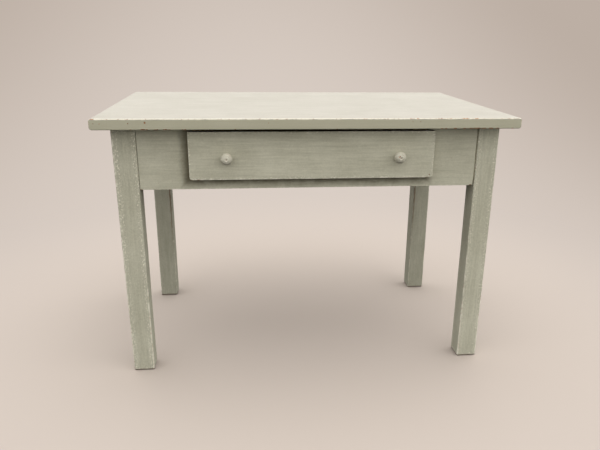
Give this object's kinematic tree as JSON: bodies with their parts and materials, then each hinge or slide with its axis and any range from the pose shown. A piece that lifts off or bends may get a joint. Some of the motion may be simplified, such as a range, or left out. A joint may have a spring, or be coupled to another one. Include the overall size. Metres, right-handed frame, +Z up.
{
  "type": "miniature table with drawer",
  "caption": "Small painted pine table with square legs, deep plain aprons, an overhanging board top and a shallow lipped front drawer with round turned knobs.",
  "frame": {"origin": "on the floor under the middle of the tabletop", "axes": "+X to the table's right seen from the front, +Y to the back, +Z up; the drawer opens towards -Y"},
  "size_m": [0.38, 0.245, 0.251],
  "materials": {
    "painted_top": "hand-brushed matt cream-grey paint, worn at the edges",
    "painted_frame": "hand-brushed matt grey-green paint, worn to primer and wood at the edges",
    "painted_knob": "turned wood under thin matt paint",
    "bare_pine": "planed, unfinished pine",
    "drawer_panel": "thin unfinished plywood",
    "steel": "dull wire steel"
  },
  "bodies": {
    "frame": {"top_board_front": "painted_top", "top_board_middle": "painted_top", "top_board_rear": "painted_top", "leg_front_left": "painted_frame", "leg_front_right": "painted_frame", "leg_rear_left": "painted_frame", "leg_rear_right": "painted_frame", "apron_front": "painted_frame", "apron_rear": "painted_frame", "apron_left": "painted_frame", "apron_right": "painted_frame", "top_cleat_left": "bare_pine", "top_cleat_right": "bare_pine", "top_cleat_rear": "bare_pine", "drawer_runner_left": "bare_pine", "drawer_runner_right": "bare_pine", "drawer_guide_left": "bare_pine", "drawer_guide_right": "bare_pine", "drawer_kicker_left": "bare_pine", "drawer_kicker_right": "bare_pine", "leg_pins": "steel", "top_screws": "steel"},
    "drawer": {"drawer_front": "painted_frame", "drawer_side_left": "bare_pine", "drawer_side_right": "bare_pine", "drawer_back": "bare_pine", "drawer_bottom": "drawer_panel", "knob_left": "painted_knob", "knob_right": "painted_knob", "knob_screw_left": "steel", "knob_screw_right": "steel", "drawer_side_pins": "steel", "drawer_bottom_pins": "steel"}
  },
  "joints": [
    {"name": "drawer_slide", "type": "slide", "parent": "frame", "child": "drawer", "axis": [0, -1, 0], "range_m": [0, 0.12]}
  ]
}
